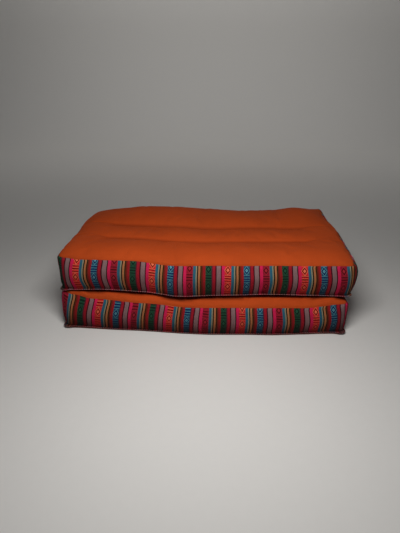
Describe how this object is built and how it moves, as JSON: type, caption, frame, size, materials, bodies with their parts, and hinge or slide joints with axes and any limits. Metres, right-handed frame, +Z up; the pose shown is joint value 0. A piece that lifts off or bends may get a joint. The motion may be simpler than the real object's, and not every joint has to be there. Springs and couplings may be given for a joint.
{
  "type": "folding meditation cushion",
  "caption": "Folding meditation cushion, folded shut: filled cotton box pads with sewn channels, a crowned top and striped woven gussets, joined by a cloth hinge along the back.",
  "frame": {"origin": "on the floor, under the middle of the whole cushion as it lies folded", "axes": "+X to the right along the long seams, +Y to the back where the hinge is, +Z up"},
  "size_m": [0.7724, 0.439, 0.2203],
  "materials": {
    "orange_cotton": "plain woven cotton, matt",
    "striped_gusset": "striped woven band with small diamonds and bars, matt"
  },
  "bodies": {
    "root": {"upper_pad": "orange_cotton", "upper_gusset": "striped_gusset", "lower_pad": "orange_cotton", "lower_gusset": "striped_gusset", "fold_hinge": "orange_cotton"}
  },
  "joints": []
}
